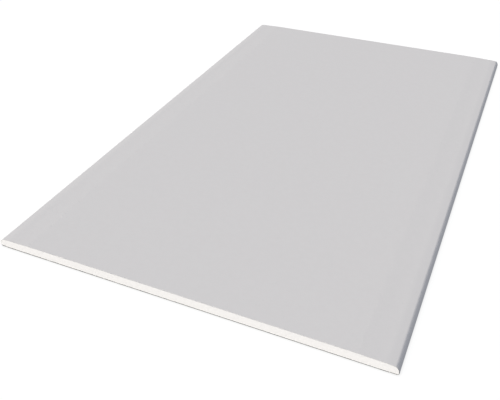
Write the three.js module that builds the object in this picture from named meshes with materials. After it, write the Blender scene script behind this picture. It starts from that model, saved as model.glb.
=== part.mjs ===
// Drywall sheet: a short-format gypsum board with tapered, rounded long edges, lying
// face up.
//
// Millimetres. +X runs across the sheet, +Y along it, +Z up out of its face.
// The origin is on the floor, under the middle of the sheet.
//
// The board is made in one long ribbon. Wet gypsum is poured on the face paper, the
// paper's two sides are folded up round the gypsum and on to its back, and the back
// paper is laid over the folded flaps. The set ribbon is then cut square to length.
// So the long edges are wrapped in paper, and the two ends show the bare core.

import * as THREE from 'three';

// Driving dimensions: the whole board.
const BOARD_WIDTH = 600;
const BOARD_LENGTH = 1000;
const BOARD_THICKNESS = 15;

// The two papers.
const FACE_PAPER_THICKNESS = 0.4;
const BACK_PAPER_THICKNESS = 0.4;
const FLAP_WIDTH = 24; // face paper on the back, from the long edge to its cut edge
const LAP_WIDTH = 12; // how far the back paper reaches over a flap

// The tapered band along each long edge, which holds the tape and filler of a joint.
// A ramp dips quickly from the face and eases out on to a level shelf.
const TAPER_WIDTH = 53;
const TAPER_DEPTH = 0.8;
const RAMP_ENTRY = 4; // reach of the ramp's upper end: short, so that it dips quickly
const RAMP_EXIT = 18; // reach of its lower end: long, so that it levels out gently
const SHELF_WIDTH = 5; // the level part, between the ramp and the rounded edge

// The rounded long edge. The shelf rolls over on a wide arc, the creased paper turns
// down at a tight knuckle, the side bellies out, and a heel turns under to the back.
const ROLL_RADIUS = 120;
const ROLL_ANGLE = 6.5; // degrees from level, where the roll meets the knuckle
const KNUCKLE_RADIUS = 4.5;
const KNUCKLE_ANGLE = 40; // degrees from level, where the knuckle meets the belly
const HEEL_RADIUS = 3;

// Steps along the ramp; each arc has twice as many.
const CURVE_STEPS = 10;

// Half widths, out from the middle of the board.
const halfWidth = BOARD_WIDTH / 2;
const taperStart = halfWidth - TAPER_WIDTH;
const flapEdge = halfWidth - FLAP_WIDTH;
const linerEdge = flapEdge + LAP_WIDTH;

// The belly takes the height of the long edge that the other three arcs leave.
const rollEnd = THREE.MathUtils.degToRad(ROLL_ANGLE);
const knuckleEnd = THREE.MathUtils.degToRad(KNUCKLE_ANGLE);
const edgeHeight = BOARD_THICKNESS - TAPER_DEPTH - BACK_PAPER_THICKNESS;
const heelRadius = Math.min(HEEL_RADIUS, edgeHeight / 2);
const rollHeight = ROLL_RADIUS * (1 - Math.cos(rollEnd));
const knuckleHeight = KNUCKLE_RADIUS * (Math.cos(rollEnd) - Math.cos(knuckleEnd));
const bellyHeight = edgeHeight - rollHeight - knuckleHeight - heelRadius;
const bellyRadius = bellyHeight / Math.cos(knuckleEnd);

// Centres of the four arcs, from the back up. Each pair of arcs meets on one tangent.
const heelX = halfWidth - heelRadius;
const heelZ = BACK_PAPER_THICKNESS + heelRadius;
const bellyX = halfWidth - bellyRadius;
const bellyZ = heelZ;
const knuckleX = bellyX + (bellyRadius - KNUCKLE_RADIUS) * Math.sin(knuckleEnd);
const knuckleZ = bellyZ + (bellyRadius - KNUCKLE_RADIUS) * Math.cos(knuckleEnd);
const rollX = knuckleX - (ROLL_RADIUS - KNUCKLE_RADIUS) * Math.sin(rollEnd);
const rollZ = knuckleZ - (ROLL_RADIUS - KNUCKLE_RADIUS) * Math.cos(rollEnd);
const rampEnd = rollX - SHELF_WIDTH;

// Line of the half section from the start of the taper, round the long edge, to the
// end of the flap. Inset 0 is the outside of the face paper. An inset of the paper's
// thickness is its glued side, and so the outside of the core.
function edgeLine(inset) {
  const face = BOARD_THICKNESS - inset;
  const shelf = face - TAPER_DEPTH;
  const up = Math.PI / 2;

  const line = new THREE.Path();
  line.moveTo(taperStart, face);
  line.bezierCurveTo(taperStart + RAMP_ENTRY, face, rampEnd - RAMP_EXIT, shelf, rampEnd, shelf);
  line.absarc(rollX, rollZ, ROLL_RADIUS - inset, up, up - rollEnd, true);
  line.absarc(knuckleX, knuckleZ, KNUCKLE_RADIUS - inset, up - rollEnd, up - knuckleEnd, true);
  line.absarc(bellyX, bellyZ, bellyRadius - inset, up - knuckleEnd, 0, true);
  line.absarc(heelX, heelZ, heelRadius - inset, 0, -up, true);
  line.lineTo(flapEdge, BACK_PAPER_THICKNESS + inset);
  return line.getPoints(CURVE_STEPS);
}

const mirrored = (points) => points.map((point) => new THREE.Vector2(-point.x, point.y));
const reversed = (points) => [...points].reverse();

// A closed section in X and Z, drawn out along the whole length of the board.
function drawnOut(section) {
  const shape = new THREE.Shape(section);
  const geometry = new THREE.ExtrudeGeometry(shape, { depth: BOARD_LENGTH, bevelEnabled: false });
  geometry.rotateX(Math.PI / 2);
  geometry.translate(0, BOARD_LENGTH / 2, 0);
  return geometry;
}

// The cast core fills the papers. Its back is stepped up over each folded flap.
function gypsumCore() {
  const side = edgeLine(FACE_PAPER_THICKNESS);
  side.push(new THREE.Vector2(flapEdge, BACK_PAPER_THICKNESS));
  const material = new THREE.MeshStandardMaterial({
    color: 0xf2f1f0,
    roughness: 0.95,
    metalness: 0,
  });
  return new THREE.Mesh(drawnOut([...side, ...reversed(mirrored(side))]), material);
}

// One sheet over the face, round both long edges and on to the back.
function facePaper() {
  const outside = edgeLine(0);
  const glued = edgeLine(FACE_PAPER_THICKNESS);
  const section = [
    ...outside,
    ...reversed(glued),
    ...mirrored(glued),
    ...reversed(mirrored(outside)),
  ];
  const material = new THREE.MeshStandardMaterial({
    color: 0xcfcdce,
    roughness: 0.85,
    metalness: 0,
  });
  return new THREE.Mesh(drawnOut(section), material);
}

// A flat sheet on the back, glued to the core and over the edges of the two flaps.
function backPaper() {
  const gluedSide = [
    new THREE.Vector2(linerEdge, 0),
    new THREE.Vector2(linerEdge, BACK_PAPER_THICKNESS),
    new THREE.Vector2(flapEdge, BACK_PAPER_THICKNESS),
  ];
  const material = new THREE.MeshStandardMaterial({
    color: 0xc3c3c1,
    roughness: 0.9,
    metalness: 0,
  });
  return new THREE.Mesh(drawnOut([...gluedSide, ...reversed(mirrored(gluedSide))]), material);
}

const sheet = new THREE.Group();
const pieces = {
  gypsum_core: gypsumCore(),
  face_paper: facePaper(),
  back_paper: backPaper(),
};
for (const [name, piece] of Object.entries(pieces)) {
  piece.name = name;
  sheet.add(piece);
}

export default sheet;
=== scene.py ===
import math

import bmesh
import bpy
import numpy as np
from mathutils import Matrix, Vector


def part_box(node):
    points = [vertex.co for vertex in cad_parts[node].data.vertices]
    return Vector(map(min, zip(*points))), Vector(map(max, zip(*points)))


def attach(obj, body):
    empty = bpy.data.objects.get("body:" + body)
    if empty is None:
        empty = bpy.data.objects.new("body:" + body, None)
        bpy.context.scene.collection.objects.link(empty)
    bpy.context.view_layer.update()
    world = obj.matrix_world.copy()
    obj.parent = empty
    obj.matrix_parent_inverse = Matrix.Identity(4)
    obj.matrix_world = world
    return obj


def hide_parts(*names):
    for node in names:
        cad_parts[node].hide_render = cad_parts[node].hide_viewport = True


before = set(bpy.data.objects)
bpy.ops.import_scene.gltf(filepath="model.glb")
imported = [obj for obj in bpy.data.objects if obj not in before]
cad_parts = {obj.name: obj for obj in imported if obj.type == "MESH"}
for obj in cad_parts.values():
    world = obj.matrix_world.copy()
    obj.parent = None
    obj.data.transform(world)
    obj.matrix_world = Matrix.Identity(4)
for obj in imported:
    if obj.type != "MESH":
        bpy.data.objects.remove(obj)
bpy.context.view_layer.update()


# ---- Camera -----------------------------------------------------------------------------
# A long lens at about arm's reach looks down on the sheet from beyond its near right
# corner, so that the face, one cut end and one rounded long edge all show.

EYE = Vector((0.34077, -1.05140, 0.61490))
LOOK_DOWN = math.radians(34.759)
LOOK_LEFT = math.radians(24.333)
FOCAL_LENGTH = 47.068
LENS_SHIFT = 0.0215

lens = bpy.data.cameras.new("camera")
lens.sensor_width = 36
lens.lens = FOCAL_LENGTH
lens.shift_x = LENS_SHIFT
lens.clip_start = 0.01
lens.clip_end = 100
camera = bpy.data.objects.new("camera", lens)
camera.location = EYE
camera.rotation_euler = (math.pi / 2 - LOOK_DOWN, 0, LOOK_LEFT)
bpy.context.collection.objects.link(camera)
bpy.context.scene.camera = camera


# ---- Face paper -------------------------------------------------------------------------
# One sheet of pale multi-ply paper. The wet core is poured on it, and its two sides are
# creased, folded up round the core and glued down on the back as flaps. The knife that
# cuts the ribbon to length bares its plies, and drags it inward a little underneath.

MM = 0.001

_, paper_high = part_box("face_paper")
_, core_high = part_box("gypsum_core")
_, liner_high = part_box("back_paper")

half_width = paper_high.x
half_length = paper_high.y
face_height = paper_high.z
paper_thickness = paper_high.x - core_high.x
liner_thickness = liner_high.z
liner_edge = liner_high.x

# The tapered band and the rounded long edge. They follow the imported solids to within
# about 0.2 mm, with an even ramp and a straight fall from the roll to the knuckle, as
# wet paper sets when it is pulled tight.
TAPER_WIDTH = 52 * MM
TAPER_DEPTH = 0.85 * MM
RAMP_ENTRY = 1 * MM  # how far the ramp's upper and lower ends are eased
RAMP_EXIT = 10 * MM
SHELF_WIDTH = 1 * MM
ROLL_RADIUS = 90 * MM
ROLL_END = math.radians(5)
FALL_LENGTH = 6 * MM
KNUCKLE_RADIUS = 4.5 * MM
KNUCKLE_END = math.radians(40)
HEEL_RADIUS = 3 * MM
FLAP_WIDTH = 24 * MM

SIDEWAYS = math.pi / 2
DOWNWARD = math.pi

shelf_height = face_height - TAPER_DEPTH
taper_start = half_width - TAPER_WIDTH
flap_edge = half_width - FLAP_WIDTH
roll_height = ROLL_RADIUS * (1 - math.cos(ROLL_END))
knuckle_height = KNUCKLE_RADIUS * (math.cos(ROLL_END) - math.cos(KNUCKLE_END))
edge_height = shelf_height - liner_thickness
fall_height = FALL_LENGTH * math.sin(ROLL_END)
belly_height = edge_height - roll_height - fall_height - knuckle_height - HEEL_RADIUS
belly_radius = belly_height / math.cos(KNUCKLE_END)

heel_x = half_width - HEEL_RADIUS
heel_z = liner_thickness + HEEL_RADIUS
belly_x = half_width - belly_radius
knuckle_x = belly_x + (belly_radius - KNUCKLE_RADIUS) * math.sin(KNUCKLE_END)
knuckle_z = heel_z + (belly_radius - KNUCKLE_RADIUS) * math.cos(KNUCKLE_END)
knuckle_start_x = knuckle_x + KNUCKLE_RADIUS * math.sin(ROLL_END)
knuckle_start_z = knuckle_z + KNUCKLE_RADIUS * math.cos(ROLL_END)
fall_x = knuckle_start_x - FALL_LENGTH * math.cos(ROLL_END)
fall_z = knuckle_start_z + fall_height
roll_x = fall_x - ROLL_RADIUS * math.sin(ROLL_END)
roll_z = fall_z - ROLL_RADIUS * math.cos(ROLL_END)
ramp_end = roll_x - SHELF_WIDTH

# Spacing of the mesh's points on the flat of the paper and on its tight bends.
FACE_STEP = 0.8 * MM
EDGE_STEP = 0.3 * MM


def spaced(length, step):
    """Even shares of a stretch, from just past its start up to its end."""
    count = max(1, round(length / step))
    return np.arange(1, count + 1) / count


def straight(start, end, facing, step):
    """Points and facings along a straight stretch."""
    share = spaced(math.dist(start, end), step)[:, None]
    points = np.array(start) * (1 - share) + np.array(end) * share
    return points, np.tile(facing, (len(share), 1))


def curve(pulls, facing, step):
    """A cubic curve on four points, for the shallow ramp."""
    share = spaced(math.dist(pulls[0], pulls[3]), step)[:, None]
    rest = 1 - share
    weights = [rest**3, 3 * share * rest**2, 3 * share**2 * rest, share**3]
    points = sum(weight * np.array(pull) for weight, pull in zip(weights, pulls))
    return points, np.tile(facing, (len(share), 1))


def arc(centre, radius, start, end, step):
    """Angles turn from straight up towards the side of the board."""
    angles = start + (end - start) * spaced(radius * (end - start), step)
    facing = np.stack([np.sin(angles), np.cos(angles)], axis=1)
    return np.array(centre) + radius * facing, facing


def board_section():
    """The outside of the face paper in X and Z, with the way each point faces.

    It runs from the left flap's cut edge, up the left side, over the face and down the
    right side to the right flap's cut edge.
    """
    up = (0, 1)
    sloping = (math.sin(ROLL_END), math.cos(ROLL_END))
    down = (0, -1)
    ramp = [
        (taper_start, face_height),
        (taper_start + RAMP_ENTRY, face_height),
        (ramp_end - RAMP_EXIT, shelf_height),
        (ramp_end, shelf_height),
    ]
    stretches = [
        straight((0, face_height), (taper_start, face_height), up, FACE_STEP),
        curve(ramp, up, FACE_STEP),
        straight((ramp_end, shelf_height), (roll_x, shelf_height), up, FACE_STEP),
        arc((roll_x, roll_z), ROLL_RADIUS, 0, ROLL_END, FACE_STEP),
        straight((fall_x, fall_z), (knuckle_start_x, knuckle_start_z), sloping, FACE_STEP),
        arc((knuckle_x, knuckle_z), KNUCKLE_RADIUS, ROLL_END, KNUCKLE_END, EDGE_STEP),
        arc((belly_x, heel_z), belly_radius, KNUCKLE_END, SIDEWAYS, EDGE_STEP),
        arc((heel_x, heel_z), HEEL_RADIUS, SIDEWAYS, DOWNWARD, EDGE_STEP),
        straight((heel_x, liner_thickness), (flap_edge, liner_thickness), down, FACE_STEP),
    ]
    points = np.vstack([stretch[0] for stretch in stretches])
    facing = np.vstack([stretch[1] for stretch in stretches])
    mirror = np.array([-1, 1])
    points = np.vstack([points[::-1] * mirror, [[0, face_height]], points])
    facing = np.vstack([facing[::-1] * mirror, [up], facing])
    return points, facing


def eased(value, start, end):
    """Rises smoothly from 0 to 1 between start and end."""
    share = np.clip((value - start) / (end - start), 0, 1)
    return share * share * (3 - 2 * share)


def ragged(along, pitch, seed):
    """A smooth random line from -1 to 1 that turns about once every pitch."""
    knots = np.random.default_rng(seed).uniform(-1, 1, int(np.ptp(along) / pitch) + 3)
    place = (along - along.min()) / pitch
    left = np.floor(place).astype(int)
    ease = eased(place - left, 0, 1)
    return knots[left] * (1 - ease) + knots[left + 1] * ease


# At a cut end the last stretch of paper may be bent inward, by a share of a right angle
# called its curl. A straight stretch, its reach, then runs on to the cut edge.
BEND_LENGTH = 0.68 * MM
LEAST_CURL = 0.001  # what flat paper is given, so that its bend has a radius
ARRIS = 0.06 * MM  # the last of the reach, where the paper's outside meets its cut edge
BEND_SHARES = (0, 0.25, 0.5, 0.75, 1)
EDGE_SHARES = (0.14, 0.5, 0.86)  # places across the cut edge
LONG_SUPPORTS = (8 * MM, 1.5 * MM)  # rings on the flat sheet, before the bend starts


def bend(curl, reach, gap):
    """The turn of a bend, its radius, and how far in from the end it starts."""
    turn = np.maximum(curl, LEAST_CURL) * SIDEWAYS
    radius = BEND_LENGTH / turn
    return turn, radius, gap + radius * np.sin(turn) + reach * np.cos(turn)


def bent_paper(curl, reach, gap, thickness):
    """The rings of one cut end, from the glued side round the cut edge to the outside.

    Each ring has two lines with one value for each column: how far it lies in from the
    end of the board, and how deep it lies under the outside of the paper.
    """
    turn, radius, bend_start = bend(curl, reach, gap)
    outside = [(bend_start + support, 0 * turn, 0 * turn) for support in LONG_SUPPORTS]
    for share in BEND_SHARES:
        angle = turn * share
        outside.append((bend_start - radius * np.sin(angle), radius * (1 - np.cos(angle)), angle))
    bend_back, bend_depth, _ = outside[-1]
    for run in (reach / 2, reach - ARRIS):
        outside.append((bend_back - run * np.cos(turn), bend_depth + run * np.sin(turn), turn))

    tip_back = bend_back - reach * np.cos(turn)
    tip_depth = bend_depth + reach * np.sin(turn)
    cut = [
        (tip_back + share * thickness * np.sin(turn), tip_depth + share * thickness * np.cos(turn))
        for share in EDGE_SHARES
    ]
    glued = [
        (back + thickness * np.sin(angle), depth + thickness * np.cos(angle))
        for back, depth, angle in outside
    ]
    bare = [(back, depth) for back, depth, _ in outside]
    return glued + cut[::-1] + bare[::-1]


SHARP_ANGLE = math.radians(38)


def add_piece(name, vertices, faces, face_materials, materials):
    """A new object from a mesh's vertices and faces, smooth but for its sharp edges."""
    mesh = bpy.data.meshes.new(name)
    mesh.from_pydata(vertices.tolist(), [], faces)
    for material in materials:
        mesh.materials.append(material)
    mesh.polygons.foreach_set("material_index", np.array(face_materials, dtype=np.int32))
    shaped = bmesh.new()
    shaped.from_mesh(mesh)
    bmesh.ops.recalc_face_normals(shaped, faces=shaped.faces)
    shaped.to_mesh(mesh)
    shaped.free()
    mesh.shade_smooth()
    mesh.set_sharp_from_angle(angle=SHARP_ANGLE)
    piece = bpy.data.objects.new(name, mesh)
    bpy.context.collection.objects.link(piece)
    return piece


# The order of a paper's three materials.
OUTSIDE = 0
OUTER_PLIES = 1
INNER_PLIES = 2


def paper_sheet(name, points, facing, near_rings, far_rings, materials):
    """A closed sheet of paper along the whole board, from its section line.

    The rings at its two ends are those of bent_paper. Its cut ends bare its plies.
    """
    count = len(near_rings)
    edge_first = (count - len(EDGE_SHARES)) // 2
    edge_middle = count // 2
    columns = len(points)
    rings = [(-1, *ring) for ring in near_rings] + [(1, *ring) for ring in far_rings[::-1]]
    vertices = []
    for end, back, depth in rings:
        place = points - facing * depth[:, None]
        along = end * (half_length - back)
        vertices.append(np.stack([place[:, 0], along, place[:, 1]], axis=1))

    faces = []
    face_materials = []
    for ring in range(len(rings)):
        following = (ring + 1) % len(rings)
        from_middle = ring if ring < count else 2 * count - 2 - ring
        if from_middle >= edge_first + len(EDGE_SHARES) or ring == count - 1:
            surface = OUTSIDE
        elif from_middle >= edge_middle:
            surface = OUTER_PLIES
        else:
            surface = INNER_PLIES
        for column in range(columns - 1):
            here = ring * columns + column
            there = following * columns + column
            faces.append((here, here + 1, there + 1, there))
            face_materials.append(surface)

    # The two long edges of the sheet: each ring on the glued side meets its outside one.
    for column in (0, columns - 1):
        for start in (0, count):
            edge = [(start + ring) * columns + column for ring in range(count)]
            for ring in range(edge_first - 1):
                opposite = count - 1 - ring
                faces.append((edge[ring], edge[ring + 1], edge[opposite - 1], edge[opposite]))
            faces.append(tuple(edge[edge_first - 1 : edge_first + len(EDGE_SHARES) + 1]))
        middle = (0, count - 1, count, 2 * count - 1)
        faces.append(tuple(ring * columns + column for ring in middle))
    face_materials += [INNER_PLIES] * (len(faces) - len(face_materials))
    return add_piece(name, np.vstack(vertices), faces, face_materials, materials)


def new_group(name, inputs, outputs):
    """An empty shader node group with these number inputs and outputs."""
    group = bpy.data.node_groups.new(name, "ShaderNodeTree")
    for label, usual in inputs:
        socket = group.interface.new_socket(label, in_out="INPUT", socket_type="NodeSocketFloat")
        socket.default_value = usual
    for label in outputs:
        group.interface.new_socket(label, in_out="OUTPUT", socket_type="NodeSocketFloat")
    return group


def feed(tree, socket, value):
    """Gives a socket its number or colour, or links it to another node's output."""
    if isinstance(value, bpy.types.NodeSocket):
        tree.links.new(value, socket)
    else:
        socket.default_value = value


def math_node(tree, operation, *values):
    """The result of one sum or test on numbers or on other nodes' outputs."""
    node = tree.nodes.new("ShaderNodeMath")
    node.operation = operation
    for socket, value in zip(node.inputs, values):
        feed(tree, socket, value)
    return node.outputs["Value"]


# A noise texture's values lie mostly within this span, about this mean.
NOISE_SPAN = (0.3, 0.7)
NOISE_MEAN = 0.5


def noise_node(tree, place, detail, roughness):
    """Soft random noise about one unit of its place across."""
    node = tree.nodes.new("ShaderNodeTexNoise")
    node.inputs["Scale"].default_value = 1
    node.inputs["Detail"].default_value = detail
    node.inputs["Roughness"].default_value = roughness
    tree.links.new(place, node.inputs["Vector"])
    return node.outputs["Fac"]


def ranged(tree, value, span, gives):
    """Moves a value evenly from one pair of ends to another, and holds it between them."""
    node = tree.nodes.new("ShaderNodeMapRange")
    labels = ("Value", "From Min", "From Max", "To Min", "To Max")
    for label, number in zip(labels, (value, *span, *gives)):
        feed(tree, node.inputs[label], number)
    return node.outputs["Result"]


def sized_place(tree, across, along):
    """The place on the board, counted in sizes across it and sizes along it."""
    place = tree.nodes.new("ShaderNodeTexCoord").outputs["Object"]
    steps = tree.nodes.new("ShaderNodeCombineXYZ")
    for label, size in (("X", across), ("Y", along), ("Z", across)):
        tree.links.new(math_node(tree, "DIVIDE", 1, size), steps.inputs[label])
    scaled = tree.nodes.new("ShaderNodeVectorMath")
    scaled.operation = "MULTIPLY"
    tree.links.new(place, scaled.inputs[0])
    tree.links.new(steps.outputs["Vector"], scaled.inputs[1])
    return scaled.outputs["Vector"]


def scattered_spots(tree, place, share, rim):
    """One round spot in some of the cells of a Voronoi texture, which fades at its rim."""
    cells = tree.nodes.new("ShaderNodeTexVoronoi")
    cells.inputs["Scale"].default_value = 1
    tree.links.new(place, cells.inputs["Vector"])
    number = tree.nodes.new("ShaderNodeSeparateColor")
    tree.links.new(cells.outputs["Color"], number.inputs["Color"])
    chosen = math_node(tree, "LESS_THAN", number.outputs["Red"], share)
    spot = ranged(tree, cells.outputs["Distance"], rim, (1, 0))
    return math_node(tree, "MULTIPLY", chosen, spot)


# Rim of a pulp fleck, and how much the clouds raise the paper against its fibres.
FLECK_RIM = (0.03, 0.09)
CLOUD_HEIGHT = 0.6


def paper_fibre_group():
    """Paper made on a machine: fibres that lie mostly along it, clouds where the pulp
    lies thicker, and stray flecks of the pulp."""
    inputs = [
        ("Fibre Width", 0.3 * MM),
        ("Fibre Length", 2 * MM),
        ("Cloud Size", 8 * MM),
        ("Fleck Size", 5 * MM),
        ("Fleck Share", 0.3),
    ]
    group = new_group("paper fibre", inputs, ["Fibres", "Clouds", "Flecks", "Height"])
    given = group.nodes.new("NodeGroupInput").outputs
    made = group.nodes.new("NodeGroupOutput").inputs

    fibre_place = sized_place(group, given["Fibre Width"], given["Fibre Length"])
    cloud_place = sized_place(group, given["Cloud Size"], given["Cloud Size"])
    fleck_place = sized_place(group, given["Fleck Size"], given["Fleck Size"])
    fibres = noise_node(group, fibre_place, detail=3, roughness=0.6)
    clouds = noise_node(group, cloud_place, detail=4, roughness=0.65)
    flecks = scattered_spots(group, fleck_place, given["Fleck Share"], FLECK_RIM)

    raised = math_node(group, "MULTIPLY", clouds, CLOUD_HEIGHT)
    group.links.new(fibres, made["Fibres"])
    group.links.new(clouds, made["Clouds"])
    group.links.new(flecks, made["Flecks"])
    group.links.new(math_node(group, "ADD", fibres, raised), made["Height"])
    return group


# The strip of scuff and painted shade frays on its inner side by these shares of its width,
# and fades over the last part of it.
SCUFF_AND_SHADE_FRAY_SIZE = 0.7 * MM
SCUFF_AND_SHADE_FRAY = (0.8, 1.2)
SCUFF_AND_SHADE_FADE_START = 0.7


def cut_end_scuff_and_shade_group():
    """Where the knife has bruised and soiled the sheet, with painted shade for the dark foot of
    each cut end: a thin strip beside each cut end, on the lower part of the board, where the
    cut comes out."""
    inputs = [
        ("End Distance", half_length),
        ("Strip Width", 1.2 * MM),
        ("Full Below", 6 * MM),
        ("None Above", 11 * MM),
    ]
    group = new_group("cut end scuff", inputs, ["Scuff"])
    given = group.nodes.new("NodeGroupInput").outputs
    made = group.nodes.new("NodeGroupOutput").inputs

    place = group.nodes.new("ShaderNodeSeparateXYZ")
    group.links.new(group.nodes.new("ShaderNodeTexCoord").outputs["Object"], place.inputs["Vector"])
    along = math_node(group, "ABSOLUTE", place.outputs["Y"])
    inward = math_node(group, "SUBTRACT", given["End Distance"], along)
    fray_place = sized_place(group, SCUFF_AND_SHADE_FRAY_SIZE, SCUFF_AND_SHADE_FRAY_SIZE)
    frayed = noise_node(group, fray_place, detail=2, roughness=0.6)
    fray = ranged(group, frayed, NOISE_SPAN, SCUFF_AND_SHADE_FRAY)
    strip = math_node(group, "MULTIPLY", given["Strip Width"], fray)
    fade_start = math_node(group, "MULTIPLY", strip, SCUFF_AND_SHADE_FADE_START)
    beside_end = ranged(group, inward, (fade_start, strip), (1, 0))
    heights = (given["Full Below"], given["None Above"])
    low_down = ranged(group, place.outputs["Z"], heights, (1, 0))
    group.links.new(math_node(group, "MULTIPLY", beside_end, low_down), made["Scuff"])
    return group


PAPER_FIBRE = paper_fibre_group()
CUT_END_SCUFF_AND_SHADE = cut_end_scuff_and_shade_group()


def tinted(tree, mask, low_colour, high_colour):
    """A colour that goes from one to the other where the mask goes from 0 to 1."""
    node = tree.nodes.new("ShaderNodeMix")
    node.data_type = "RGBA"
    tree.links.new(mask, node.inputs["Factor"])
    # The node has a socket of each name for every kind of value.
    for label, colour in (("A", low_colour), ("B", high_colour)):
        socket = next(s for s in node.inputs if s.name == label and s.type == "RGBA")
        feed(tree, socket, (*colour, 1) if isinstance(colour, tuple) else colour)
    return next(s for s in node.outputs if s.type == "RGBA")


def new_material(name, specular):
    """A material with Blender's usual shader, and that shader's node."""
    material = bpy.data.materials.new(name)
    material.use_nodes = True
    shader = material.node_tree.nodes["Principled BSDF"]
    shader.inputs["Specular IOR Level"].default_value = specular
    return material, shader


def add_bump(tree, shader, height, relief):
    """Bump on the surface, in which a height of 1 stands as high as the relief."""
    bump = tree.nodes.new("ShaderNodeBump")
    bump.inputs["Distance"].default_value = relief
    tree.links.new(height, bump.inputs["Height"])
    tree.links.new(bump.outputs["Normal"], shader.inputs["Normal"])


PAPER_SPECULAR = 0.22
PAPER_ROUGHNESS = (0.92, 0.8)  # between the fibres and on them
CLOUD_SHARE = 0.45  # how strongly the clouds in the pulp tint the paper, against its fibres
TINT_REACH = 0.3  # how far the pulp is from its mean where its tint is full


def paper_material(name, thin, thick, fleck, scuffed_and_shaded, fibre_sizes, relief):
    """Paper between two colours, where its pulp lies thin and thick, with flecks."""
    material, shader = new_material(name, PAPER_SPECULAR)
    tree = material.node_tree

    fibre = tree.nodes.new("ShaderNodeGroup")
    fibre.node_tree = PAPER_FIBRE
    for label, size in fibre_sizes.items():
        fibre.inputs[label].default_value = size

    clouds = math_node(tree, "MULTIPLY", fibre.outputs["Clouds"], CLOUD_SHARE)
    pulp = math_node(tree, "ADD", fibre.outputs["Fibres"], clouds)
    mean = NOISE_MEAN + NOISE_MEAN * CLOUD_SHARE
    thickness = ranged(tree, pulp, (mean - TINT_REACH, mean + TINT_REACH), (0, 1))
    body = tinted(tree, thickness, thin, thick)
    clean = tinted(tree, fibre.outputs["Flecks"], body, fleck)
    # Beside the cut ends the paper darkens to its scuffed colour: part scuff, part painted shade.
    scuff_and_shade = tree.nodes.new("ShaderNodeGroup")
    scuff_and_shade.node_tree = CUT_END_SCUFF_AND_SHADE
    colour = tinted(tree, scuff_and_shade.outputs["Scuff"], clean, scuffed_and_shaded)
    roughness = ranged(tree, fibre.outputs["Fibres"], NOISE_SPAN, PAPER_ROUGHNESS)
    tree.links.new(colour, shader.inputs["Base Color"])
    tree.links.new(roughness, shader.inputs["Roughness"])
    add_bump(tree, shader, fibre.outputs["Height"], relief)
    return material


# The bared plies of a cut end show the ends of the fibres.
PLY_FIBRES = {"Fibre Width": 0.12 * MM, "Fibre Length": 0.6 * MM, "Cloud Size": 2 * MM}
PLY_RELIEF = 0.03 * MM

# The scuffed colours below are part scuff and part painted shade at the foot of the cut ends.
face_finish = paper_material(
    "face_paper",
    thin=(0.609, 0.595, 0.60),
    thick=(0.647, 0.632, 0.637),
    fleck=(0.53, 0.52, 0.51),
    scuffed_and_shaded=(0.33, 0.325, 0.31),
    fibre_sizes={
        "Fibre Width": 0.25 * MM,
        "Fibre Length": 2.2 * MM,
        "Cloud Size": 9 * MM,
        "Fleck Size": 6 * MM,
        "Fleck Share": 0.25,
    },
    relief=0.025 * MM,
)
outer_ply_finish = paper_material(
    "face_paper_outer_plies",
    thin=(0.56, 0.55, 0.54),
    thick=(0.62, 0.61, 0.60),
    fleck=(0.48, 0.47, 0.45),
    scuffed_and_shaded=(0.33, 0.325, 0.31),
    fibre_sizes=PLY_FIBRES,
    relief=PLY_RELIEF,
)
inner_ply_finish = paper_material(
    "face_paper_inner_plies",
    thin=(0.47, 0.46, 0.44),
    thick=(0.56, 0.55, 0.53),
    fleck=(0.36, 0.35, 0.33),
    scuffed_and_shaded=(0.29, 0.285, 0.27),
    fibre_sizes=PLY_FIBRES,
    relief=PLY_RELIEF,
)

# How high above the back of the board the lip under a cut end stands, where the knife
# has dragged it up. It loses a little height towards the right long edge.
LIP_HEIGHT = 1.21 * MM
LIP_SLOPE = 0.16 / 300

# The face paper curls in more the further it faces down, up to a full turn on the flaps.
CURL_START = math.radians(45)
CURL_POWER = 1.2

# Under the back paper the flap stays straight and ends short of the cut. Beside it the
# flap's own lip is free, and stands higher.
TUCK_START = 0.9 * MM
TUCK_END = 0.2 * MM
TUCK_GAP = 0.7 * MM
FREE_LIP_RISE = 0.55 * MM
FREE_LIP_RUN = 2 * MM

# A cut edge wanders in long waves and frays in short ones, in height and along the board.
WAVE_PITCH = 4 * MM
FRAY_PITCH = 0.9 * MM
LIP_WAVE = 0.09 * MM
LIP_FRAY = 0.04 * MM
END_GAP = 0.035 * MM
GAP_WAVE = 0.02 * MM
GAP_FRAY = 0.015 * MM

section_points, section_facing = board_section()
section_steps = np.linalg.norm(np.diff(section_points, axis=0), axis=1)
section_along = np.concatenate([[0], np.cumsum(section_steps)])
bend_height = BEND_LENGTH / SIDEWAYS


def face_paper_lip(seed):
    """Curl, reach and gap of the face paper at one cut end, for each column."""
    tilt = np.arctan2(np.abs(section_facing[:, 0]), section_facing[:, 1])
    curl = np.clip((tilt - CURL_START) / (DOWNWARD - CURL_START), 0, 1) ** CURL_POWER
    outside_liner = np.abs(section_points[:, 0]) - liner_edge
    on_back = section_facing[:, 1] < 0
    under_liner = eased(-outside_liner, -TUCK_START, -TUCK_END) * on_back
    curl = curl * (1 - under_liner)
    wave = ragged(section_along, WAVE_PITCH, seed)
    fray = ragged(section_along, FRAY_PITCH, seed + 1)
    rise = FREE_LIP_RISE * eased(outside_liner, 0, FREE_LIP_RUN) * curl
    height = LIP_HEIGHT + rise - LIP_SLOPE * section_points[:, 0] - liner_thickness
    reach = height - bend_height + LIP_WAVE * wave + LIP_FRAY * fray
    flush_gap = END_GAP + GAP_WAVE * wave + GAP_FRAY * fray
    gap = flush_gap * (1 - curl) + under_liner * TUCK_GAP
    return curl, reach, gap


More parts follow.
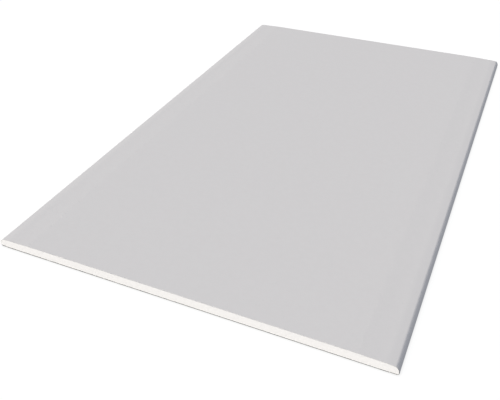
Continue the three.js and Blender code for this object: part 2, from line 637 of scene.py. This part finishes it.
near_face_lip = face_paper_lip(seed=11)
far_face_lip = face_paper_lip(seed=23)
face_paper = paper_sheet(
    "wrapped_face_paper",
    section_points,
    section_facing,
    bent_paper(*near_face_lip, paper_thickness),
    bent_paper(*far_face_lip, paper_thickness),
    [face_finish, outer_ply_finish, inner_ply_finish],
)
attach(face_paper, "root")
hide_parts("face_paper")


# ---- Gypsum core ------------------------------------------------------------------------
# Foamed gypsum, poured wet between the papers and set to one solid that they are bonded
# to. It is bare only on the two cut ends, where the cut leaves fine marks, open bubbles
# and a crushed lower arris.

GLUE_LINE = 0.02 * MM

# The end's mesh: columns across the board, and rows that lie closer behind the lip.
CORE_STEP = 0.6 * MM
TIP_STEPS = 14
LOWER_ROWS = np.array([0, 0.1, 0.25, 0.4, 0.6, 0.8, 1.0, 1.2, 1.45, 1.8, 2.3]) * MM
UPPER_ROW_COUNT = 22
FULL_ROW_HEIGHT = 6 * MM  # under this the rows draw together, towards the rounded tip

# Where the flap ends, the back of the core steps down on to the back paper.
STEP_TOP = flap_edge - 0.01 * MM
STEP_FOOT = flap_edge - 0.05 * MM
STEP_CLEARANCE = 0.15 * MM  # no other column of the mesh comes nearer to the step

# How near the rounded tip a point counts as on it, and how far apart such points merge.
TIP_SLACK = 1e-7
TIP_REACH = 1e-5

# The back paper's lip, which crushes the core's lower arris.
LINER_LIP_STEP = 0.4 * MM
LINER_WAVE_PITCH = 5 * MM
LINER_FRAY_PITCH = 1.1 * MM
LINER_WAVE = 0.1 * MM
LINER_FRAY = 0.05 * MM
CRUSHED_ABOVE = 0.25 * MM  # how far above a lip's edge the core is still pressed in
LEAST_RISE = 1e-9  # what a level stretch of a lip is taken to rise

# Relief that the cut leaves on the bare gypsum.
BARE_DEPTH = 0.05 * MM
SWELL_PITCH = 7 * MM
SWELL_DEPTH = 0.02 * MM
CRUMB_PITCH = 1.6 * MM
CRUMB_DEPTH = 0.012 * MM
STROKE_PITCH = 2.3 * MM
STROKE_DEPTH = 0.01 * MM
STROKE_LEAN = 0.25
BUBBLE_COUNT = 260
BUBBLE_RADII = (0.5 * MM, 1.1 * MM)
BUBBLE_DEPTH = 0.35  # as a share of its radius
BUBBLES_ABOVE = 2 * MM
BUBBLES_BELOW = face_height - 1 * MM


def liner_lip(columns, seed):
    """Curl, reach and gap of the back paper at one cut end: it is turned up all along."""
    wave = ragged(columns, LINER_WAVE_PITCH, seed)
    fray = ragged(columns, LINER_FRAY_PITCH, seed + 1)
    height = LIP_HEIGHT - LIP_SLOPE * columns
    reach = height - bend_height + LINER_WAVE * wave + LINER_FRAY * fray
    return np.ones(len(columns)), reach, np.zeros(len(columns))


def lip_depth(inset, curl, reach, gap, thickness):
    """How far in from the end a lip's glued side lies, at each depth under its outside."""
    turn, radius, bend_start = bend(curl, reach, gap)
    lines = []
    for share in BEND_SHARES:
        angle = turn * share
        back = bend_start - radius * np.sin(angle) + thickness * np.sin(angle)
        lines.append((back, radius * (1 - np.cos(angle)) + thickness * np.cos(angle)))
    back, height = lines[-1]
    tip_back = back - reach * np.cos(turn)
    tip_height = height + reach * np.sin(turn)
    lines.append((tip_back, tip_height))

    first_back, first_height = lines[0]
    depth = np.where(inset <= first_height, first_back, 0)
    for (back_a, height_a), (back_b, height_b) in zip(lines, lines[1:]):
        rise = np.maximum(height_b - height_a, LEAST_RISE)
        share = (inset - height_a) / rise
        within = (share > 0) & (share <= 1)
        depth = np.where(within, back_a + (back_b - back_a) * share, depth)
    past = (inset - tip_height) / CRUSHED_ABOVE
    return np.where(past > 0, tip_back * np.clip(1 - past, 0, 1), depth)


def lumps(x, z, pitch, seed):
    """Smooth random relief from -1 to 1, about one pitch across each lump."""
    columns = int(np.ptp(x) / pitch) + 3
    rows = int(np.ptp(z) / pitch) + 3
    knots = np.random.default_rng(seed).uniform(-1, 1, (columns, rows))
    place_x = (x - x.min()) / pitch
    place_z = (z - z.min()) / pitch
    left = np.floor(place_x).astype(int)
    under = np.floor(place_z).astype(int)
    ease_x = eased(place_x - left, 0, 1)
    ease_z = eased(place_z - under, 0, 1)
    low = knots[left, under] * (1 - ease_x) + knots[left + 1, under] * ease_x
    high = knots[left, under + 1] * (1 - ease_x) + knots[left + 1, under + 1] * ease_x
    return low * (1 - ease_z) + high * ease_z


def bubbles(x, z, count, seed):
    """Depth of the larger air bubbles that the cut has opened."""
    draws = np.random.default_rng(seed)
    depth = np.zeros(x.shape)
    for _ in range(count):
        centre_x = draws.uniform(x.min(), x.max())
        centre_z = draws.uniform(BUBBLES_ABOVE, BUBBLES_BELOW)
        radius = draws.uniform(*BUBBLE_RADII)
        near = ((x - centre_x) ** 2 + (z - centre_z) ** 2) / radius**2
        depth = np.maximum(depth, BUBBLE_DEPTH * radius * np.clip(1 - near, 0, 1))
    return depth


def nearest_column(x, z):
    """For each place on the end, the closest point of the face paper's outside."""
    best = np.full(len(x), np.inf)
    column = np.zeros(len(x), dtype=int)
    for number, (point_x, point_z) in enumerate(section_points):
        distance = (x - point_x) ** 2 + (z - point_z) ** 2
        closer = distance < best
        best = np.where(closer, distance, best)
        column = np.where(closer, number, column)
    return np.sqrt(best), column


def end_relief(x, z, face_lip, seed):
    """How far in from the end of the board the bare core lies at one end."""
    bare = BARE_DEPTH + SWELL_DEPTH * lumps(x, z, SWELL_PITCH, seed)
    bare = bare + CRUMB_DEPTH * lumps(x, z, CRUMB_PITCH, seed + 1)
    bare = bare + STROKE_DEPTH * ragged(x + STROKE_LEAN * z, STROKE_PITCH, seed + 2)
    bare = bare + bubbles(x, z, BUBBLE_COUNT, seed + 3)

    inset, column = nearest_column(x, z)
    face_lip_here = [values[column] for values in face_lip]
    under_face_lip = lip_depth(inset, *face_lip_here, paper_thickness)

    across = np.linspace(-liner_edge, liner_edge, 1 + round(2 * liner_edge / LINER_LIP_STEP))
    liner_lip_here = [np.interp(x, across, values) for values in liner_lip(across, seed + 4)]
    under_liner_lip = lip_depth(z, *liner_lip_here, liner_thickness)
    under_liner_lip = np.where(np.abs(x) < liner_edge + CORE_STEP, under_liner_lip, 0)
    covered = np.maximum(under_face_lip, under_liner_lip)
    return np.maximum(bare, covered + GLUE_LINE)


def core_columns():
    """Places across half the core: even over the face, and closer towards its rounded tip."""
    tip_x = half_width - paper_thickness - GLUE_LINE
    round_start = knuckle_x + KNUCKLE_RADIUS * math.sin(KNUCKLE_END)
    even = np.concatenate([[0], round_start * spaced(round_start, CORE_STEP)])
    clear_of_step = np.abs(even - flap_edge) > STEP_CLEARANCE
    even = np.sort(np.concatenate([even[clear_of_step], [STEP_FOOT, STEP_TOP]]))
    turns = np.linspace(KNUCKLE_END, SIDEWAYS, TIP_STEPS + 1)[1:]
    share = (np.sin(turns) - math.sin(KNUCKLE_END)) / (1 - math.sin(KNUCKLE_END))
    return np.concatenate([even, even[-1] + (tip_x - even[-1]) * share])


def core_heights(columns):
    """The lowest and highest point of the core at each place across it."""
    inner = section_points - section_facing * (paper_thickness + GLUE_LINE)
    right = inner[len(inner) // 2 :]
    tip = int(np.argmax(right[:, 0]))
    top = np.interp(columns, right[: tip + 1, 0], right[: tip + 1, 1])
    back = liner_thickness + GLUE_LINE
    step_height = right[-1, 1]
    under_x = np.concatenate([[0, STEP_FOOT, STEP_TOP], right[tip:, 0][::-1]])
    under_z = np.concatenate([[back, back, step_height], right[tip:, 1][::-1]])
    return np.interp(columns, under_x, under_z), top


def cast_core(name, materials):
    """The closed core: a fine grid over each cut end, joined by long faces between."""
    half = core_columns()
    low, high = core_heights(half)
    low[-1] = high[-1] = (low[-1] + high[-1]) / 2
    columns = np.concatenate([-half[::-1], half[1:]])
    low = np.concatenate([low[::-1], low[1:]])
    high = np.concatenate([high[::-1], high[1:]])

    height = (high - low)[:, None]
    lower = LOWER_ROWS[None, :] * np.clip(height / FULL_ROW_HEIGHT, 0, 1)
    upper_shares = spaced(1, 1 / UPPER_ROW_COUNT)[None, :]
    upper = lower[:, -1:] + (height - lower[:, -1:]) * upper_shares
    rows = np.hstack([lower, upper])
    row_count = rows.shape[1]
    z = (low[:, None] + rows).ravel()
    x = np.repeat(columns, row_count)

    near = end_relief(x, z, near_face_lip, seed=31)
    far = end_relief(x, z, far_face_lip, seed=47)
    near_grid = np.stack([x, -half_length + near, z], axis=1)
    far_grid = np.stack([x, half_length - far, z], axis=1)
    vertices = np.vstack([near_grid, far_grid])
    far_start = len(near_grid)

    faces = []
    for column in range(len(columns) - 1):
        for row in range(row_count - 1):
            corner = column * row_count + row
            beside = corner + row_count
            faces.append((corner, beside, beside + 1, corner + 1))
            faces.append(tuple(far_start + n for n in (corner, corner + 1, beside + 1, beside)))
        for row in (0, row_count - 1):
            corner = column * row_count + row
            beside = corner + row_count
            faces.append((corner, beside, far_start + beside, far_start + corner))
    piece = add_piece(name, vertices, faces, [0] * len(faces), materials)

    # All rows meet in one point at each rounded tip.
    shaped = bmesh.new()
    shaped.from_mesh(piece.data)
    tips = [vertex for vertex in shaped.verts if abs(vertex.co.x) > columns[-1] - TIP_SLACK]
    bmesh.ops.remove_doubles(shaped, verts=tips, dist=TIP_REACH)
    bmesh.ops.recalc_face_normals(shaped, faces=shaped.faces)
    shaped.to_mesh(piece.data)
    shaped.free()
    return piece


# The look of set gypsum: its patches of tone, its sandy grain, and its finest bubbles,
# one in a share of the cells of their spacing, painted darker as painted shade in the pores.
GYPSUM_SPECULAR = 0.2
GYPSUM_ROUGHNESS = (0.86, 0.98)
PATCH_SIZE = 5 * MM
GRAIN_SIZE = 0.25 * MM
GRAIN_RELIEF = 0.05 * MM
FINE_BUBBLE_SPACING = 1.1 * MM
FINE_BUBBLE_SHARE = 0.35
FINE_BUBBLE_RIM = (0.14, 0.24)


def gypsum_material(name, body, shade, bubble_painted_shade):
    """Set gypsum: near white, a little uneven, with fine open bubbles and a sandy grain."""
    material, shader = new_material(name, GYPSUM_SPECULAR)
    tree = material.node_tree

    patches = noise_node(tree, sized_place(tree, PATCH_SIZE, PATCH_SIZE), detail=4, roughness=0.6)
    grain = noise_node(tree, sized_place(tree, GRAIN_SIZE, GRAIN_SIZE), detail=3, roughness=0.7)
    bubble_place = sized_place(tree, FINE_BUBBLE_SPACING, FINE_BUBBLE_SPACING)
    bubble = scattered_spots(tree, bubble_place, FINE_BUBBLE_SHARE, FINE_BUBBLE_RIM)

    uneven = ranged(tree, patches, NOISE_SPAN, (0, 1))
    colour = tinted(tree, bubble, tinted(tree, uneven, shade, body), bubble_painted_shade)
    tree.links.new(colour, shader.inputs["Base Color"])
    tree.links.new(ranged(tree, grain, NOISE_SPAN, GYPSUM_ROUGHNESS), shader.inputs["Roughness"])
    add_bump(tree, shader, math_node(tree, "SUBTRACT", grain, bubble), GRAIN_RELIEF)
    return material


gypsum_finish = gypsum_material(
    "set_gypsum",
    body=(0.94, 0.92, 0.908),
    shade=(0.905, 0.885, 0.873),
    # The bubbles' darker colour is painted shade inside the open pores.
    bubble_painted_shade=(0.80, 0.79, 0.77),
)
gypsum_core = cast_core("cast_gypsum_core", [gypsum_finish])
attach(gypsum_core, "root")
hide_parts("gypsum_core")


# ---- Back paper -------------------------------------------------------------------------
# A flat sheet of coarser recycled paper, laid on the wet back of the core and over the
# edges of the two folded flaps. The board is cut face down, so the knife comes in through
# this paper and drags its end up over the crushed arris, as a thin grey lip.

liner_finish = paper_material(
    "back_paper",
    thin=(0.49, 0.48, 0.45),
    thick=(0.56, 0.55, 0.52),
    fleck=(0.34, 0.32, 0.29),
    # The lip's scuffed colour is part scuff and part painted shade at the foot of the cut end.
    scuffed_and_shaded=(0.26, 0.258, 0.25),
    fibre_sizes={
        "Fibre Width": 0.4 * MM,
        "Fibre Length": 3 * MM,
        "Cloud Size": 6 * MM,
        "Fleck Size": 4 * MM,
        "Fleck Share": 0.5,
    },
    relief=0.025 * MM,
)
liner_ply_finish = paper_material(
    "back_paper_plies",
    thin=(0.40, 0.39, 0.365),
    thick=(0.47, 0.455, 0.425),
    fleck=(0.28, 0.265, 0.24),
    scuffed_and_shaded=(0.23, 0.225, 0.215),
    fibre_sizes=PLY_FIBRES,
    relief=PLY_RELIEF,
)
liner_columns = np.linspace(-liner_edge, liner_edge, 1 + round(2 * liner_edge / FACE_STEP))
back_paper = paper_sheet(
    "glued_back_paper",
    np.stack([liner_columns, np.zeros(len(liner_columns))], axis=1),
    np.tile((0, -1), (len(liner_columns), 1)),
    bent_paper(*liner_lip(liner_columns, seed=35), liner_thickness),
    bent_paper(*liner_lip(liner_columns, seed=51), liner_thickness),
    [liner_finish, liner_ply_finish, liner_ply_finish],
)
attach(back_paper, "root")
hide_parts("back_paper")


# ---- Studio -----------------------------------------------------------------------------
# A plain white table under an even room light, with one broad soft lamp high on the left
# in front. The table glows white to the camera, so it shows almost no shadow.

TABLE_REACH = 15
TABLE_DROP = 0.2 * MM
TABLE_GLOW = 0.96
CONTACT_GLOW = 0.7  # the table's glow where the sheet touches it
CONTACT_REACH = 4 * MM
TABLE_GREY = (0.06, 0.06, 0.06, 1)
ROOM_COLOUR = (0.521, 0.549, 0.597, 1)
FROM_TABLE = 0.6  # light that comes up from the table, as a share of the room's
HORIZON_BLUR = 0.1
LAMP_STRENGTH = 2.786
LAMP_SPREAD = math.radians(20)
LAMP_COLOUR = (1.0, 0.95, 0.86)
TOWARDS_LAMP = Vector((-0.98, -1.27, 1.0))

# The table is hidden from the light on the sheet, so it neither lights nor shades it.
table_mesh = bpy.data.meshes.new("table")
corners = [
    (-TABLE_REACH, -TABLE_REACH, -TABLE_DROP),
    (TABLE_REACH, -TABLE_REACH, -TABLE_DROP),
    (TABLE_REACH, TABLE_REACH, -TABLE_DROP),
    (-TABLE_REACH, TABLE_REACH, -TABLE_DROP),
]
table_mesh.from_pydata(corners, [], [(0, 1, 2, 3)])
table = bpy.data.objects.new("table", table_mesh)
bpy.context.collection.objects.link(table)
table.visible_diffuse = False
table.visible_glossy = False
table.visible_shadow = False

# From above the table glows, a little less close to the sheet. From below it is clear.
table_finish = bpy.data.materials.new("table")
table_finish.use_nodes = True
table_mesh.materials.append(table_finish)
tree = table_finish.node_tree
tree.nodes.clear()
closeness = tree.nodes.new("ShaderNodeAmbientOcclusion")
closeness.inputs["Distance"].default_value = CONTACT_REACH
strength = ranged(tree, closeness.outputs["AO"], (0, 1), (CONTACT_GLOW, TABLE_GLOW))
glow = tree.nodes.new("ShaderNodeEmission")
tree.links.new(strength, glow.inputs["Strength"])
matt = tree.nodes.new("ShaderNodeBsdfDiffuse")
matt.inputs["Color"].default_value = TABLE_GREY
from_above = tree.nodes.new("ShaderNodeAddShader")
tree.links.new(glow.outputs["Emission"], from_above.inputs[0])
tree.links.new(matt.outputs["BSDF"], from_above.inputs[1])
from_below = tree.nodes.new("ShaderNodeBsdfTransparent")
side = tree.nodes.new("ShaderNodeNewGeometry")
seen = tree.nodes.new("ShaderNodeMixShader")
tree.links.new(side.outputs["Backfacing"], seen.inputs["Fac"])
tree.links.new(from_above.outputs["Shader"], seen.inputs[1])
tree.links.new(from_below.outputs["BSDF"], seen.inputs[2])
output = tree.nodes.new("ShaderNodeOutputMaterial")
tree.links.new(seen.outputs["Shader"], output.inputs["Surface"])

# The room is an even cool light to the sheet, and plain white to the camera.
room = bpy.data.worlds.new("room")
room.use_nodes = True
bpy.context.scene.world = room
tree = room.node_tree
tree.nodes.clear()
direction = tree.nodes.new("ShaderNodeTexCoord").outputs["Generated"]
split = tree.nodes.new("ShaderNodeSeparateXYZ")
tree.links.new(direction, split.inputs["Vector"])
strength = ranged(tree, split.outputs["Z"], (-HORIZON_BLUR, HORIZON_BLUR), (FROM_TABLE, 1))
ambient = tree.nodes.new("ShaderNodeBackground")
ambient.inputs["Color"].default_value = ROOM_COLOUR
tree.links.new(strength, ambient.inputs["Strength"])
white = tree.nodes.new("ShaderNodeBackground")
white.inputs["Color"].default_value = (1, 1, 1, 1)
path = tree.nodes.new("ShaderNodeLightPath")
both = tree.nodes.new("ShaderNodeMixShader")
tree.links.new(path.outputs["Is Camera Ray"], both.inputs["Fac"])
tree.links.new(ambient.outputs["Background"], both.inputs[1])
tree.links.new(white.outputs["Background"], both.inputs[2])
output = tree.nodes.new("ShaderNodeOutputWorld")
tree.links.new(both.outputs["Shader"], output.inputs["Surface"])

lamp_light = bpy.data.lights.new("lamp", "SUN")
lamp_light.energy = LAMP_STRENGTH
lamp_light.angle = LAMP_SPREAD
lamp_light.color = LAMP_COLOUR
lamp = bpy.data.objects.new("lamp", lamp_light)
lamp.rotation_euler = TOWARDS_LAMP.to_track_quat("Z", "Y").to_euler()
bpy.context.collection.objects.link(lamp)
bpy.context.scene.view_settings.view_transform = "Standard"
